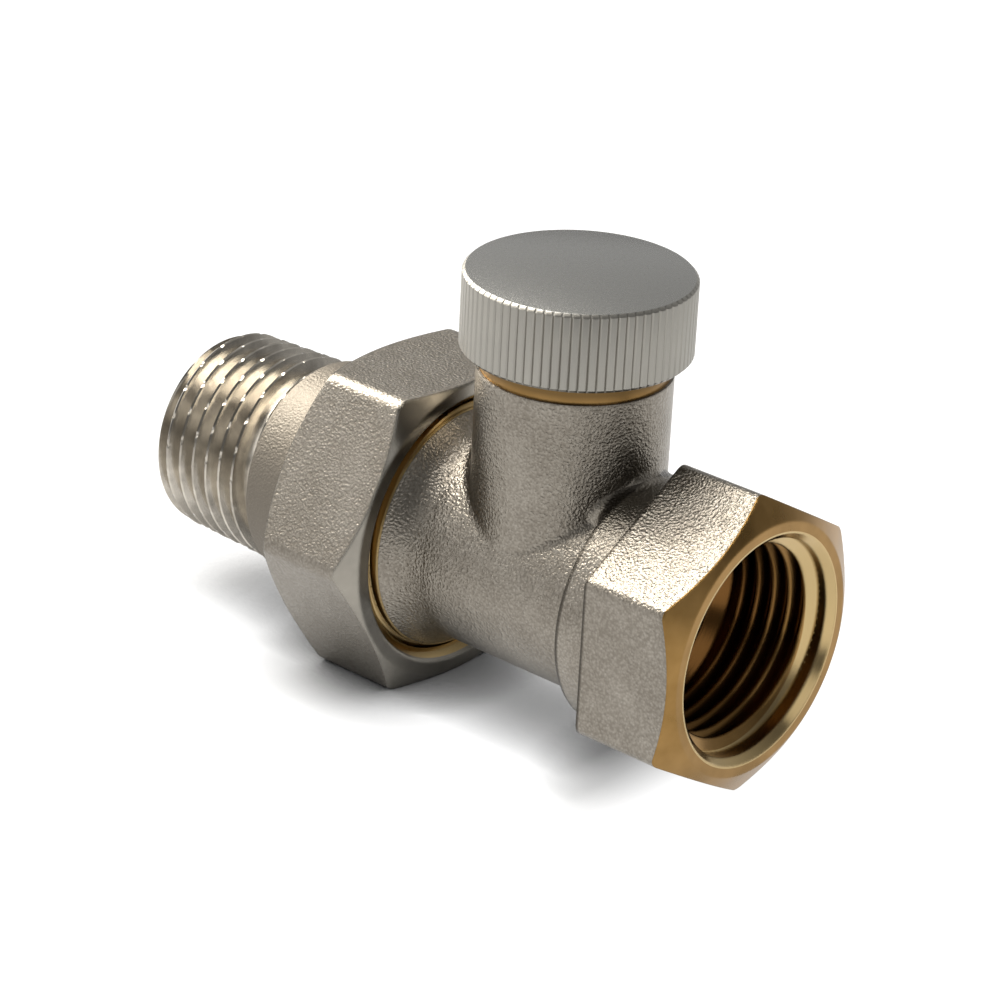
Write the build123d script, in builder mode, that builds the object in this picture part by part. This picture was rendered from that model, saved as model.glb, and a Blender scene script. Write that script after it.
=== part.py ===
from build123d import *
import math
import os

# Lockshield radiator valve, straight pattern, half inch, nickel plated brass.
# Millimetres. The origin is the centre of the female port's face. +X leaves that port,
# the pipe axis is X, the stem stands up along +Z.

# Reach of the whole valve
port_to_stem = 23.4
stem_to_tail_end = 44.4
cap_top_z = 29.7

# Clearances
running_fit = 0.06
seat_gap = 0.05
slip_fit = 0.1

# Half inch pipe thread, female in the body and male on the tail
pipe_thread_radius = 10.478
pipe_thread_depth = 1.162
pipe_taper = 1 / 32

# Forged body
tube_radius = 10.2
neck_radius = 9.1
neck_shoulder_z = 20.35
neck_band_radius = 8.8
neck_edge_chamfer = 0.3
neck_top_z = 26.0
neck_fillet = 1.2
collar_height = 1.8
collar_from_stem = 9.0
hex_from_stem = 13.0
hex_across_flats = 26.0
hex_corner_round = 1.2
hex_face_radius = 12.2
port_mouth_radius = 11.13
port_thread_length = 11.5
collar_edge_round = 0.4

# Water way and seat inside the body
water_radius = 7.2
inlet_radius = 7.6
chamber_wall_x = 9.0
seat_z = -1.0
seat_rim_height = 0.6
seat_rim_radius = 5.4
seat_opening_radius = 4.2
web_thickness = 1.9
inlet_end_from_stem = -5.2
outlet_end_from_stem = -7.6

# Union between the body and the tail
union_face_from_stem = -17.5
union_thread_end_from_stem = -12.6
union_root_radius = 12.04
flare_radius = 11.9
flare_foot_from_stem = -8.6
nose_wall = 0.9
nose_length = 3.6
nose_groove_width = 1.9
union_ring_section = 1.5

# Union nut
nut_face_from_stem = -12.2
nut_length = 11.5
nut_across_flats = 30.0
nut_corner_round = 1.6
nut_face_radius = 14.9
nut_mouth_radius = 13.6
nut_lip_thickness = 2.7

# Tail
tail_thread_length = 13.2
tail_crest_radius = 10.45
tail_end_chamfer = 0.5
shank_radius = 10.86
shank_edge_chamfer = 0.35
tail_collar_radius = 11.9
tail_bore_radius = 7.2
key_across_flats = 12.0
key_depth = 9.0
key_from_end = 12.0

# Corner chamfers on both hexagons are turned at this angle from the face
corner_chamfer_angle = 30

# Neck bore and bonnet
neck_bore_radius = 6.55
bonnet_bottom_z = 5.6
bonnet_flange_height = 1.1
bonnet_flange_across_flats = 14.0
bonnet_ring_z = 23.4
bonnet_ring_groove_width = 1.6
bonnet_ring_groove_depth = 1.3
bonnet_ring_section = 1.24
bonnet_shoulder_z = 17.5
bonnet_hex_top_z = 15.0
bonnet_well_z = 24.4
bonnet_well_radius = 4.9

# Spindle
spindle_radius = 3.0
spindle_thread_radius = 2.5
spindle_bottom_z = 8.2
spindle_top_z = 26.3
spindle_collar_radius = 3.9
spindle_collar_bottom_z = 15.5
spindle_ring_z = (19.2, 21.2)
spindle_groove_width = 1.1
spindle_groove_depth = 0.85
spindle_ring_section = 0.84
thrust_washer_thickness = 0.6
socket_across_flats = 4.0
socket_depth = 3.4
clip_thickness = 0.56
clip_groove_depth = 0.4
clip_radius = 4.2
clip_mouth = 2.6

# Plug with its seal
plug_across_flats = 8.0
plug_top_z = 11.0
plug_flange_radius = 5.7
plug_flange_height = 1.2
plug_tap_bottom_z = 4.6
seal_radius = 5.4
seal_thickness = 1.8
screw_radius = 1.45
screw_depth = 3.0
screw_head_radius = 2.4
screw_head_height = 1.5
screw_slot_width = 0.6
screw_slot_depth = 0.7
retainer_radius = 3.3
retainer_thickness = 0.5

# Cap
cap_radius = 10.76
cap_height = 7.5
cap_top_thickness = 1.5
cap_thread_root_radius = 8.14
cap_room_radius = 8.8
cap_edge_chamfer = 0.3
knurl_grooves = 80
knurl_groove_width = 0.3
knurl_groove_depth = 0.22
gasket_thickness = 1.0
gasket_radius = 8.1

# Places worked out from the sizes above
stem_x = -port_to_stem
hex_back_x = stem_x + hex_from_stem
collar_radius = tube_radius + collar_height
union_face_x = stem_x + union_face_from_stem
nut_face_x = stem_x + nut_face_from_stem
nut_back_x = nut_face_x - nut_length
tail_end_x = stem_x - stem_to_tail_end
thread_end_x = tail_end_x + tail_thread_length
tail_collar_face_x = union_face_x - seat_gap
tail_collar_back_x = nut_back_x + nut_lip_thickness + seat_gap
nose_end_x = tail_collar_face_x + nose_length
nose_groove_x = (tail_collar_face_x + nose_end_x) / 2
nose_groove_radius = tail_bore_radius + nose_wall
nose_radius = nose_groove_radius + union_ring_section
cap_bottom_z = cap_top_z - cap_height
cap_ceiling_z = cap_top_z - cap_top_thickness
bonnet_top_z = neck_top_z + bonnet_flange_height
web_bottom_z = seat_z - seat_rim_height - web_thickness
seal_bottom_z = seat_z + seat_gap
plug_bottom_z = seal_bottom_z + seal_thickness
plug_flange_top_z = plug_bottom_z + plug_flange_height
retainer_bottom_z = seal_bottom_z - retainer_thickness
bonnet_radius = neck_bore_radius - seat_gap
plug_guide_across_flats = plug_across_flats + slip_fit
spindle_bore_radius = spindle_radius + seat_gap
pipe_root_radius = pipe_thread_radius - pipe_thread_depth

stem_axis = Axis((stem_x, 0, 0), (0, 0, 1))
stem_side = Plane(origin=(stem_x, 0, 0), x_dir=(1, 0, 0), z_dir=(0, -1, 0))


def across(z):
    """Horizontal plane through the stem axis at height z."""
    return Plane(origin=(stem_x, 0, z))


def turn_on_stem(outline, mode=Mode.ADD):
    """Turn an outline of (radius, height) points about the stem axis."""
    with BuildSketch(stem_side) as profile:
        with BuildLine():
            Polyline(*outline, close=True)
        make_face()
    revolve(profile.sketch, axis=stem_axis, mode=mode)


def turn_on_pipe(outline, mode=Mode.ADD):
    """Turn an outline of (x, radius) points about the pipe axis."""
    with BuildSketch(Plane.XZ) as profile:
        with BuildLine():
            Polyline(*outline, close=True)
        make_face()
    revolve(profile.sketch, axis=Axis.X, mode=mode)


def stem_ring(inner, outer, bottom, top):
    """Plain ring on the stem axis."""
    turn_on_stem([(inner, bottom), (outer, bottom), (outer, top), (inner, top)])


def hexagon(plane, across_flats, length, turn=0, corner_round=0.0, mode=Mode.ADD):
    """Hexagonal prism that grows along the plane's normal."""
    with BuildSketch(plane) as section:
        RegularPolygon(across_flats / 2, 6, major_radius=False, rotation=turn)
        if corner_round:
            fillet(section.vertices(), corner_round)
    extrude(section.sketch, amount=length, mode=mode)


def cut_hex_corners(face_x, face_radius, across_flats, inward):
    """Turned chamfer over the corners of a hexagon on the pipe axis."""
    reach = across_flats / math.sqrt(3)
    depth = (reach - face_radius) * math.tan(math.radians(corner_chamfer_angle))
    outline = [
        (face_x, face_radius),
        (face_x + inward * depth, reach),
        (face_x - inward, reach),
        (face_x - inward, face_radius),
    ]
    turn_on_pipe(outline, mode=Mode.SUBTRACT)


def o_ring(plane, middle_radius, section):
    """Rubber ring of round section, in the plane it lies in."""
    with BuildPart(plane) as ring:
        Torus(middle_radius, section / 2)
    return ring


def on_neck(edge):
    """True for an edge that lies on the neck's cylinder, below its shoulder."""
    low_enough = edge.center().Z < collar_radius + neck_fillet
    distances = []
    for share in (0.02, 0.5, 0.98):
        point = edge.position_at(share)
        distances.append(abs(math.hypot(point.X - stem_x, point.Y) - neck_radius))
    return low_enough and max(distances) < 0.02


def make_valve_body():
    """One forging with the hexagonal female port, collar, tube, neck and union end."""
    collar_x = stem_x + collar_from_stem
    flare_x = stem_x + union_thread_end_from_stem
    flare_foot_x = stem_x + flare_foot_from_stem
    ring_edge = (collar_x, collar_radius - collar_edge_round)
    ring_top = (collar_x + collar_edge_round, collar_radius)
    with BuildPart() as valve_body:
        # Tube with the union end, the curved flare behind it and the collar
        with BuildSketch(Plane.XZ):
            with BuildLine():
                Polyline((union_face_x, 0), (union_face_x, union_root_radius), (flare_x, union_root_radius))
                Line((flare_x, union_root_radius), (flare_x, flare_radius))
                TangentArc((flare_foot_x, tube_radius), (flare_x, flare_radius), tangent=(-1, 0))
                Line((flare_foot_x, tube_radius), (collar_x, tube_radius))
                Line((collar_x, tube_radius), ring_edge)
                RadiusArc(ring_edge, ring_top, collar_edge_round)
                Polyline(ring_top, (hex_back_x, collar_radius), (hex_back_x, 0))
                Line((hex_back_x, 0), (union_face_x, 0))
            make_face()
        revolve(axis=Axis.X)
        # Neck, blended into the tube, the flare and the collar
        with BuildSketch(across(0)):
            Circle(neck_radius)
        extrude(amount=neck_shoulder_z)
        fillet(valve_body.edges().filter_by(on_neck), neck_fillet)
        # Hexagon of the female port, one corner up
        hexagon(Plane.YZ.offset(hex_back_x), hex_across_flats, -hex_back_x, 90, hex_corner_round)
        cut_hex_corners(0, hex_face_radius, hex_across_flats, -1)
        # Machined top of the neck
        band = neck_band_radius
        root = cap_thread_root_radius
        runout_z = cap_bottom_z + neck_edge_chamfer
        turn_on_stem([
            (0, neck_shoulder_z - neck_edge_chamfer),
            (neck_radius, neck_shoulder_z - neck_edge_chamfer),
            (band, neck_shoulder_z),
            (band, cap_bottom_z - neck_edge_chamfer),
            (root, runout_z),
            (root, neck_top_z - neck_edge_chamfer),
            (root - neck_edge_chamfer, neck_top_z),
            (0, neck_top_z),
        ])
        # Bore for the bonnet down to the floor round the seat
        floor_z = seat_z - seat_rim_height
        with BuildSketch(across(floor_z)):
            Circle(neck_bore_radius)
        extrude(amount=neck_top_z - floor_z, mode=Mode.SUBTRACT)
        # Outlet to the union, full bore as far as the dividing wall and over the web beyond it
        with BuildSketch(Plane.YZ.offset(stem_x + outlet_end_from_stem)):
            Circle(water_radius)
        extrude(amount=union_face_from_stem - outlet_end_from_stem, mode=Mode.SUBTRACT)
        with BuildSketch(Plane.YZ.offset(stem_x)):
            with Locations((0, 0)):
                Circle(water_radius)
            with Locations((0, floor_z - water_radius)):
                Rectangle(2 * water_radius, 2 * water_radius, mode=Mode.SUBTRACT)
        extrude(amount=outlet_end_from_stem, mode=Mode.SUBTRACT)
        # Counterbore that takes the nose of the tail
        nose_room = nose_radius + slip_fit
        nose_room_x = nose_end_x + slip_fit
        turn_on_pipe(
            [(union_face_x, 0), (union_face_x, nose_room), (nose_room_x, nose_room), (nose_room_x, 0)],
            mode=Mode.SUBTRACT,
        )
        # Female port, with its mouth, its smooth relief and its threaded bore
        relief = port_mouth_radius - pipe_thread_radius
        turn_on_pipe([
            (0, 0),
            (0, port_mouth_radius),
            (-relief, pipe_thread_radius),
            (-port_thread_length, pipe_thread_radius),
            (-port_thread_length - pipe_thread_depth, pipe_root_radius),
            (stem_x + chamber_wall_x + pipe_thread_depth, inlet_radius),
            (stem_x + chamber_wall_x, inlet_radius),
            (stem_x + chamber_wall_x, 0),
        ], mode=Mode.SUBTRACT)
        # Inlet, under the web
        with BuildSketch(Plane.YZ.offset(stem_x + inlet_end_from_stem)):
            Circle(inlet_radius)
            with Locations((0, web_bottom_z + inlet_radius)):
                Rectangle(2 * inlet_radius, 2 * inlet_radius, mode=Mode.SUBTRACT)
        extrude(amount=chamber_wall_x - inlet_end_from_stem, mode=Mode.SUBTRACT)
        # Raised seat round the opening through the web
        stem_ring(0, seat_rim_radius, floor_z, seat_z)
        with BuildSketch(across(web_bottom_z)):
            Circle(seat_opening_radius)
        extrude(amount=seat_z - web_bottom_z, mode=Mode.SUBTRACT)
    valve_body.part.label = "valve_body"
    export_step(valve_body.part, "parts/valve_body.step")


def make_bonnet():
    """Turned insert that screws into the neck, carries the spindle and guides the plug."""
    groove_bottom = bonnet_ring_z - bonnet_ring_groove_width / 2
    groove_top = bonnet_ring_z + bonnet_ring_groove_width / 2
    groove_radius = bonnet_radius - bonnet_ring_groove_depth
    guide_round = plug_guide_across_flats / 2
    with BuildPart() as bonnet:
        turn_on_stem([
            (0, bonnet_bottom_z),
            (bonnet_radius - neck_edge_chamfer, bonnet_bottom_z),
            (bonnet_radius, bonnet_bottom_z + neck_edge_chamfer),
            (bonnet_radius, groove_bottom),
            (groove_radius, groove_bottom),
            (groove_radius, groove_top),
            (bonnet_radius, groove_top),
            (bonnet_radius, neck_top_z),
            (0, neck_top_z),
        ])
        hexagon(across(neck_top_z), bonnet_flange_across_flats, bonnet_flange_height)
        # Hexagonal guide for the plug, and the room over it for the spindle's collar
        hexagon(
            across(bonnet_bottom_z),
            plug_guide_across_flats,
            bonnet_hex_top_z - bonnet_bottom_z,
            mode=Mode.SUBTRACT,
        )
        turn_on_stem([
            (0, bonnet_hex_top_z),
            (guide_round, bonnet_hex_top_z),
            (guide_round, bonnet_shoulder_z),
            (spindle_bore_radius, bonnet_shoulder_z),
            (spindle_bore_radius, bonnet_well_z),
            (bonnet_well_radius, bonnet_well_z),
            (bonnet_well_radius, bonnet_top_z),
            (0, bonnet_top_z),
        ], mode=Mode.SUBTRACT)
    bonnet.part.label = "bonnet"
    export_step(bonnet.part, "parts/bonnet.step")


def make_bonnet_ring():
    """Rubber ring between the bonnet and the neck."""
    middle = bonnet_radius - bonnet_ring_groove_depth + seat_gap / 2 + bonnet_ring_section / 2
    bonnet_ring = o_ring(across(bonnet_ring_z), middle, bonnet_ring_section)
    bonnet_ring.part.label = "bonnet_ring"
    export_step(bonnet_ring.part, "parts/bonnet_ring.step")


def make_spindle():
    """Spindle with its left-hand thread, collar, two ring grooves and key socket."""
    groove_radius = spindle_radius - spindle_groove_depth
    clip_bottom_z = bonnet_well_z + seat_gap / 2
    clip_top_z = clip_bottom_z + clip_thickness + seat_gap / 2
    collar_top_z = bonnet_shoulder_z - thrust_washer_thickness - 2 * seat_gap
    outline = [
        (0, spindle_bottom_z),
        (spindle_thread_radius - cap_edge_chamfer, spindle_bottom_z),
        (spindle_thread_radius, spindle_bottom_z + cap_edge_chamfer),
        (spindle_thread_radius, spindle_collar_bottom_z),
        (spindle_collar_radius, spindle_collar_bottom_z),
        (spindle_collar_radius, collar_top_z),
        (spindle_radius, collar_top_z),
    ]
    for ring_z in spindle_ring_z:
        low = ring_z - spindle_groove_width / 2
        high = ring_z + spindle_groove_width / 2
        outline += [(spindle_radius, low), (groove_radius, low), (groove_radius, high), (spindle_radius, high)]
    outline += [
        (spindle_radius, clip_bottom_z),
        (spindle_radius - clip_groove_depth, clip_bottom_z),
        (spindle_radius - clip_groove_depth, clip_top_z),
        (spindle_radius, clip_top_z),
        (spindle_radius, spindle_top_z - cap_edge_chamfer),
        (spindle_radius - cap_edge_chamfer, spindle_top_z),
        (0, spindle_top_z),
    ]
    with BuildPart() as spindle:
        turn_on_stem(outline)
        hexagon(across(spindle_top_z), socket_across_flats, -socket_depth, mode=Mode.SUBTRACT)
    spindle.part.label = "spindle"
    export_step(spindle.part, "parts/spindle.step")


def make_spindle_rings():
    """Two rubber rings that seal the spindle in the bonnet."""
    middle = spindle_radius - spindle_groove_depth + seat_gap / 2 + spindle_ring_section / 2
    for name, ring_z in zip(("spindle_ring_lower", "spindle_ring_upper"), spindle_ring_z):
        spindle_ring = o_ring(across(ring_z), middle, spindle_ring_section)
        spindle_ring.part.label = name
        export_step(spindle_ring.part, f"parts/{name}.step")


def make_thrust_washer():
    """Slippery washer between the spindle's collar and the bonnet's shoulder."""
    top = bonnet_shoulder_z - seat_gap
    with BuildPart() as thrust_washer:
        stem_ring(spindle_bore_radius, spindle_collar_radius, top - thrust_washer_thickness, top)
    thrust_washer.part.label = "thrust_washer"
    export_step(thrust_washer.part, "parts/thrust_washer.step")


def make_spindle_clip():
    """Open spring clip that keeps the spindle from dropping."""
    inner = spindle_radius - clip_groove_depth + seat_gap / 2
    bottom = bonnet_well_z + seat_gap
    with BuildPart() as spindle_clip:
        with BuildSketch(across(bottom)):
            Circle(clip_radius)
            Circle(inner, mode=Mode.SUBTRACT)
            with Locations((clip_radius, 0)):
                Rectangle(2 * clip_radius, clip_mouth, mode=Mode.SUBTRACT)
        extrude(amount=clip_thickness)
    spindle_clip.part.label = "spindle_clip"
    export_step(spindle_clip.part, "parts/spindle_clip.step")


def make_plug():
    """Hexagonal plug that rises without turning, on the spindle's thread."""
    tap_radius = spindle_thread_radius + running_fit
    with BuildPart() as plug:
        stem_ring(0, plug_flange_radius, plug_bottom_z, plug_flange_top_z)
        hexagon(across(plug_flange_top_z), plug_across_flats, plug_top_z - plug_flange_top_z)
        with BuildSketch(across(plug_tap_bottom_z)):
            Circle(tap_radius)
        extrude(amount=plug_top_z - plug_tap_bottom_z, mode=Mode.SUBTRACT)
        with BuildSketch(across(plug_bottom_z)):
            Circle(screw_radius + seat_gap)
        extrude(amount=screw_depth, mode=Mode.SUBTRACT)
    plug.part.label = "plug"
    export_step(plug.part, "parts/plug.step")


def make_plug_seal():
    """Rubber disc that closes on the seat."""
    with BuildPart() as plug_seal:
        stem_ring(screw_radius + seat_gap, seal_radius, seal_bottom_z, plug_bottom_z)
    plug_seal.part.label = "plug_seal"
    export_step(plug_seal.part, "parts/plug_seal.step")


def make_seal_washer():
    """Brass washer under the rubber disc."""
    with BuildPart() as seal_washer:
        stem_ring(screw_radius + seat_gap, retainer_radius, retainer_bottom_z, seal_bottom_z)
    seal_washer.part.label = "seal_washer"
    export_step(seal_washer.part, "parts/seal_washer.step")


def make_seal_screw():
    """Slotted screw that holds the washer and the disc to the plug."""
    head_bottom_z = retainer_bottom_z - screw_head_height
    with BuildPart() as seal_screw:
        stem_ring(0, screw_head_radius, head_bottom_z, retainer_bottom_z)
        stem_ring(0, screw_radius, retainer_bottom_z, plug_bottom_z + screw_depth - slip_fit)
        with BuildSketch(across(head_bottom_z)):
            Rectangle(2 * screw_head_radius, screw_slot_width)
        extrude(amount=screw_slot_depth, mode=Mode.SUBTRACT)
    seal_screw.part.label = "seal_screw"
    export_step(seal_screw.part, "parts/seal_screw.step")


def knurl_outline():
    """Corner points of the cap's round, with one V groove for each step."""
    step = 2 * math.pi / knurl_grooves
    half_groove = knurl_groove_width / cap_radius / 2
    points = []
    for groove in range(knurl_grooves):
        middle = groove * step
        places = (
            (middle - half_groove, cap_radius),
            (middle, cap_radius - knurl_groove_depth),
            (middle + half_groove, cap_radius),
        )
        for angle, radius in places:
            points.append((radius * math.cos(angle), radius * math.sin(angle)))
    return points


def make_cap():
    """Knurled cap, screwed on the neck over the bonnet."""
    with BuildPart() as cap:
        with BuildSketch(across(cap_bottom_z)):
            with BuildLine():
                Polyline(*knurl_outline(), close=True)
            make_face()
        extrude(amount=cap_height)
        edge = cap_radius - cap_edge_chamfer
        turn_on_stem([
            (0, cap_bottom_z),
            (edge, cap_bottom_z),
            (cap_radius, cap_bottom_z + cap_edge_chamfer),
            (cap_radius, cap_top_z - cap_edge_chamfer),
            (edge, cap_top_z),
            (0, cap_top_z),
        ], mode=Mode.INTERSECT)
        # Threaded bore, with room for the neck's band below it and for the gasket above it
        crest = cap_thread_root_radius + running_fit
        mouth = neck_band_radius + slip_fit
        turn_on_stem([
            (0, cap_bottom_z),
            (mouth, cap_bottom_z),
            (mouth, cap_bottom_z + neck_edge_chamfer),
            (crest, cap_bottom_z + 2 * neck_edge_chamfer + slip_fit),
            (crest, neck_top_z),
            (cap_room_radius, neck_top_z),
            (cap_room_radius, cap_ceiling_z),
            (0, cap_ceiling_z),
        ], mode=Mode.SUBTRACT)
    cap.part.label = "cap"
    export_step(cap.part, "parts/cap.step")


def make_cap_gasket():
    """Flat disc in the cap's ceiling, pressed on the bonnet's rim."""
    bottom = bonnet_top_z + seat_gap
    with BuildPart() as cap_gasket:
        stem_ring(0, gasket_radius, bottom, bottom + gasket_thickness)
    cap_gasket.part.label = "cap_gasket"
    export_step(cap_gasket.part, "parts/cap_gasket.step")


def make_union_nut():
    """Hexagonal union nut, one flat up, with an inward lip behind the tail's collar."""
    crest = union_root_radius + running_fit
    lip_bore = shank_radius + slip_fit
    with BuildPart() as union_nut:
        hexagon(Plane.YZ.offset(nut_back_x), nut_across_flats, nut_length, 0, nut_corner_round)
        cut_hex_corners(nut_face_x, nut_face_radius, nut_across_flats, -1)
        cut_hex_corners(nut_back_x, nut_face_radius, nut_across_flats, 1)
        turn_on_pipe([
            (nut_face_x, 0),
            (nut_face_x, nut_mouth_radius),
            (nut_face_x - (nut_mouth_radius - crest), crest),
            (nut_back_x + nut_lip_thickness, crest),
            (nut_back_x + nut_lip_thickness, lip_bore),
            (nut_back_x, lip_bore),
            (nut_back_x, 0),
        ], mode=Mode.SUBTRACT)
    union_nut.part.label = "union_nut"
    export_step(union_nut.part, "parts/union_nut.step")


def make_tailpiece():
    """Tail with a tapered male thread, a shank, a collar and a nose with a ring groove."""
    root_at_shank = tail_crest_radius - pipe_thread_depth
    root_at_end = root_at_shank - tail_thread_length * pipe_taper
    groove_low_x = nose_groove_x - nose_groove_width / 2
    groove_high_x = nose_groove_x + nose_groove_width / 2
    with BuildPart() as tailpiece:
        turn_on_pipe([
            (tail_end_x, 0),
            (tail_end_x, root_at_end - tail_end_chamfer),
            (tail_end_x + tail_end_chamfer, root_at_end),
            (thread_end_x, root_at_shank),
            (thread_end_x, shank_radius - shank_edge_chamfer),
            (thread_end_x + shank_edge_chamfer, shank_radius),
            (tail_collar_back_x, shank_radius),
            (tail_collar_back_x, tail_collar_radius),
            (tail_collar_face_x, tail_collar_radius),
            (tail_collar_face_x, nose_radius),
            (groove_low_x, nose_radius),
            (groove_low_x, nose_groove_radius),
            (groove_high_x, nose_groove_radius),
            (groove_high_x, nose_radius),
            (nose_end_x, nose_radius),
            (nose_end_x, 0),
        ])
        # Bore, with a hexagonal stretch that takes the fitting key
        key_x = tail_end_x + key_from_end
        with BuildSketch(Plane.YZ.offset(tail_end_x)):
            Circle(tail_bore_radius)
        extrude(amount=key_from_end, mode=Mode.SUBTRACT)
        hexagon(Plane.YZ.offset(key_x), key_across_flats, key_depth, mode=Mode.SUBTRACT)
        with BuildSketch(Plane.YZ.offset(key_x + key_depth)):
            Circle(tail_bore_radius)
        extrude(amount=nose_end_x - key_x - key_depth, mode=Mode.SUBTRACT)
    tailpiece.part.label = "tailpiece"
    export_step(tailpiece.part, "parts/tailpiece.step")


def make_union_ring():
    """Rubber ring on the tail's nose."""
    middle = nose_groove_radius + seat_gap / 2 + union_ring_section / 2
    union_ring = o_ring(Plane.YZ.offset(nose_groove_x), middle, union_ring_section)
    union_ring.part.label = "union_ring"
    export_step(union_ring.part, "parts/union_ring.step")


os.makedirs("parts", exist_ok=True)
make_valve_body()
make_bonnet()
make_bonnet_ring()
make_spindle()
make_spindle_rings()
make_thrust_washer()
make_spindle_clip()
make_plug()
make_plug_seal()
make_seal_washer()
make_seal_screw()
make_cap()
make_cap_gasket()
make_union_nut()
make_tailpiece()
make_union_ring()
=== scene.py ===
# %% [markdown]
# # A lockshield radiator valve, dressed for a studio picture
#
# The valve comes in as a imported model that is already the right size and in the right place. This lesson
# gives it what a plain solid model leaves out: cut threads, a knurled cap, and metal that looks forged,
# blasted, turned and plated. Everything is in metres, the pipe axis is X and the stem points up.

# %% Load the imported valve
import bpy
import bmesh
import math
from mathutils import Matrix, Vector


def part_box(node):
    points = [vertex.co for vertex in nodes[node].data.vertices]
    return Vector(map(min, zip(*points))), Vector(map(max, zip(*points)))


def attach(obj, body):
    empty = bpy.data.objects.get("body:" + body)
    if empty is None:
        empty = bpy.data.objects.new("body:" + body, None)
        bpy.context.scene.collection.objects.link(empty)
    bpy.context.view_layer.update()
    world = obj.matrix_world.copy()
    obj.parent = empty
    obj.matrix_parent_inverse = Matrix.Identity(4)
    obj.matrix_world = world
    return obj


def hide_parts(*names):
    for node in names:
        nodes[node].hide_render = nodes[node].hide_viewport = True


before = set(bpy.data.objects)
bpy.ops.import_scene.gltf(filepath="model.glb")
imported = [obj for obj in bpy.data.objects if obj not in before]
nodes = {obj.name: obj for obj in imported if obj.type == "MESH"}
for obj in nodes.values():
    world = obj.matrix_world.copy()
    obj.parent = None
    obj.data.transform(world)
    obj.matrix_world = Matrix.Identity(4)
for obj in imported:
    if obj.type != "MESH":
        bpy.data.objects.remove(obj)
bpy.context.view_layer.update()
print("pieces in the frame:", ", ".join(sorted(nodes)))

# %% [markdown]
# ## Where things are
#
# Measuring the model is safer than typing its places again. The stem's axis is the middle of the cap, and
# the ends of the threads are ends of boxes. Only sizes that the boxes can't give are written here, and they
# are in millimetres because that is how a valve is drawn.

# %% Measure the frame
MM = 0.001
cap_low, cap_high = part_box("cap")
tail_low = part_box("tailpiece")[0]
nut_low, nut_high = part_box("union_nut")
body_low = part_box("valve_body")[0]
stem_x = (cap_low.x + cap_high.x) / 2
floor_z = nut_low.z
print(f"stem at x {stem_x / MM:.2f} mm, floor at z {floor_z / MM:.2f} mm")

# %% [markdown]
# ## A small language for node trees
#
# Node trees are easier to read as arithmetic. A `Wire` is one value on its way through a tree: adding two
# wires adds a Math node. Every other node comes from one method, which takes the node's type, its settings,
# and what goes into its sockets. The same class serves shaders and Geometry Nodes, which share Math nodes.

# %% Wires that behave like numbers


def pick_socket(sockets, key):
    """The socket with this number, identifier or name."""
    if isinstance(key, int):
        return sockets[key]
    for socket in sockets:
        if socket.identifier == key:
            return socket
    for socket in sockets:
        if socket.name == key and socket.enabled:
            return socket
    raise KeyError(key)


class Plan:
    """A node tree that is written as Python calls."""

    def __init__(self, tree):
        self.tree = tree

    def node(self, kind, settings=None, inputs=None, output=0):
        made = self.tree.nodes.new(kind)
        for name, value in (settings or {}).items():
            setattr(made, name, value)
        for key, value in (inputs or {}).items():
            socket = pick_socket(made.inputs, key)
            if isinstance(value, Wire):
                self.tree.links.new(value.socket, socket)
            else:
                socket.default_value = value
        return Wire(self, pick_socket(made.outputs, output)) if len(made.outputs) else made


class Wire:
    """One value in a node tree."""

    def __init__(self, plan, socket):
        self.plan = plan
        self.socket = socket

    def out(self, key):
        return Wire(self.plan, pick_socket(self.socket.node.outputs, key))

    def math(self, operation, *others):
        values = dict(enumerate((self,) + others))
        return self.plan.node("ShaderNodeMath", {"operation": operation}, values)

    def __add__(self, other):
        return self.math("ADD", other)

    def __sub__(self, other):
        return self.math("SUBTRACT", other)

    def __mul__(self, other):
        return self.math("MULTIPLY", other)

    def __truediv__(self, other):
        return self.math("DIVIDE", other)

    def __neg__(self):
        return self.math("MULTIPLY", -1.0)

    def __rsub__(self, other):
        return -self + other

    __radd__ = __add__
    __rmul__ = __mul__

    def least(self, other):
        return self.math("MINIMUM", other)

    def most(self, other):
        return self.math("MAXIMUM", other)

    def clamp(self):
        return self.most(0.0).least(1.0)


print("wires are ready")

# %% [markdown]
# ## Growing a piece from a tree
#
# A Geometry Nodes tree is a recipe with named inputs. An empty object wears it as a modifier, the inputs are
# set through their identifiers, and the result is turned into a plain mesh. The mesh is then moved to its
# axis, so that the object itself stays at the origin.

# %% Recipes, axes and plain meshes
ON_PIPE = Matrix(((0, 0, 1, 0), (1, 0, 0, 0), (0, 1, 0, 0), (0, 0, 0, 1)))
ON_STEM = Matrix.Translation((stem_x, 0, 0))
SOCKETS = {"number": "NodeSocketFloat", "whole": "NodeSocketInt", "finish": "NodeSocketMaterial"}


def new_recipe(name, inputs):
    """A Geometry Nodes tree with named inputs. Returns its plan and the wires of its inputs."""
    tree = bpy.data.node_groups.new(name, "GeometryNodeTree")
    tree.interface.new_socket(name="Shape", in_out="INPUT", socket_type="NodeSocketGeometry")
    for label, kind in inputs.items():
        tree.interface.new_socket(name=label, in_out="INPUT", socket_type=SOCKETS[kind])
    tree.interface.new_socket(name="Shape", in_out="OUTPUT", socket_type="NodeSocketGeometry")
    plan = Plan(tree)
    entry = plan.node("NodeGroupInput")
    wires = {label: entry.out(label) for label in list(inputs) + ["Shape"]}
    return plan, wires


def finish_recipe(plan, shape, finish):
    """Ends a recipe: real geometry, with its material."""
    real = plan.node("GeometryNodeRealizeInstances", None, {"Geometry": shape})
    done = plan.node("GeometryNodeSetMaterial", None, {"Geometry": real, "Material": finish})
    plan.node("NodeGroupOutput", None, {"Shape": done})
    return plan.tree


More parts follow.
